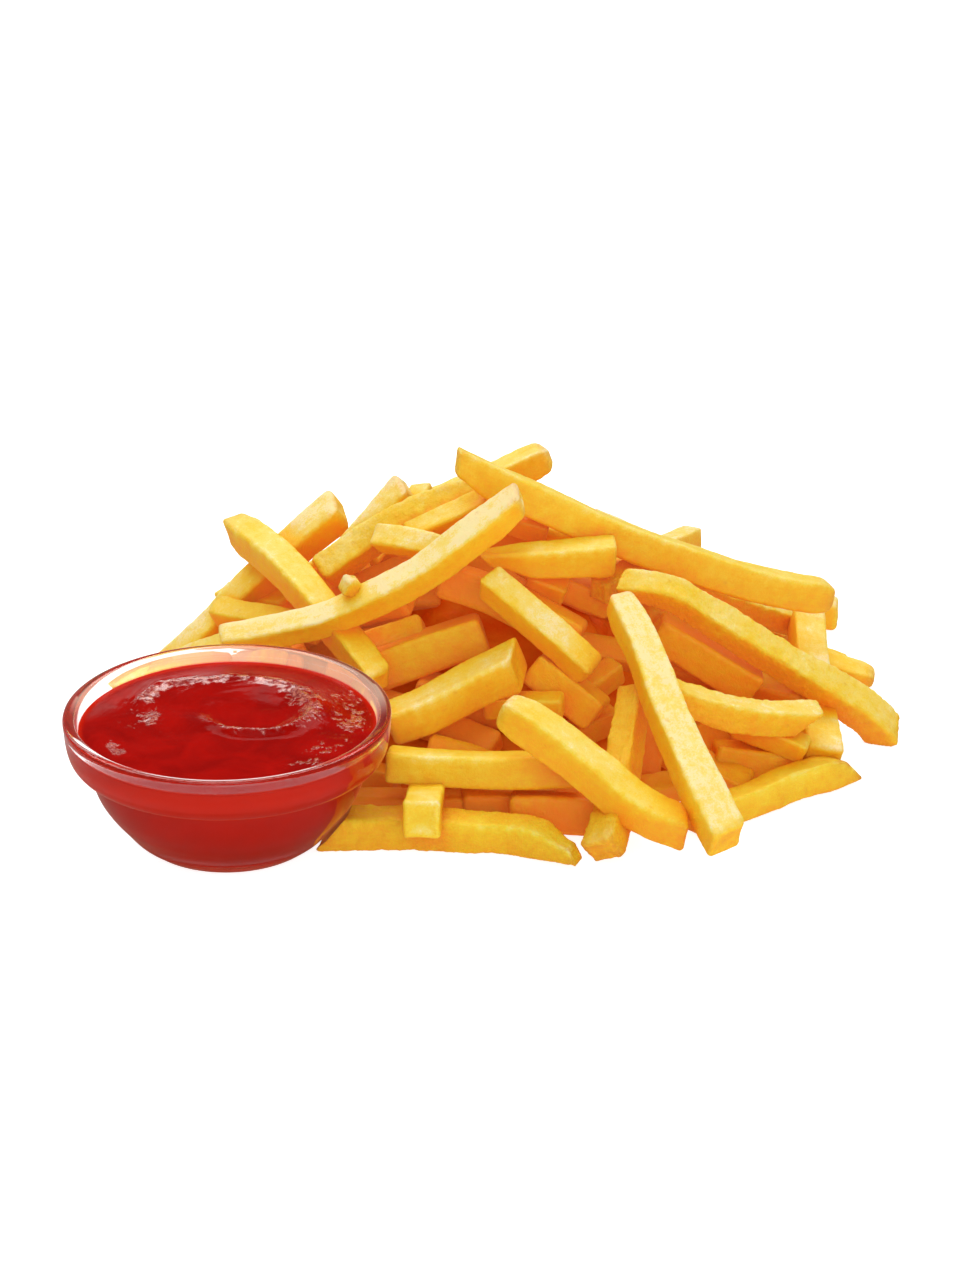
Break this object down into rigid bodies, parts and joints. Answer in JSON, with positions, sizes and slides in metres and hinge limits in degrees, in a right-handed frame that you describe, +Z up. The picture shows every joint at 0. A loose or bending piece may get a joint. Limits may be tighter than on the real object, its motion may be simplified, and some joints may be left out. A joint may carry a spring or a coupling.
{
  "type": "french fries portion with ketchup in a glass bowl",
  "caption": "Loose pile of thick-cut french fries leaning round a small clear glass bowl of ketchup, built as one resting portion.",
  "frame": {"origin": "middle of the footprint of the pile and the bowl together, on the surface they stand on", "axes": "+Z up; +X to the right along the pile's long side, with the bowl at the left; the bowl stands at the front, towards -Y"},
  "size_m": [0.2368, 0.207, 0.0907],
  "materials": {
    "fries": "fried potato, satin",
    "glass": "clear, polished",
    "ketchup": "wet and glossy"
  },
  "bodies": {
    "root": {"fries_heap": "fries", "glass_bowl": "glass", "ketchup": "ketchup"}
  },
  "joints": []
}
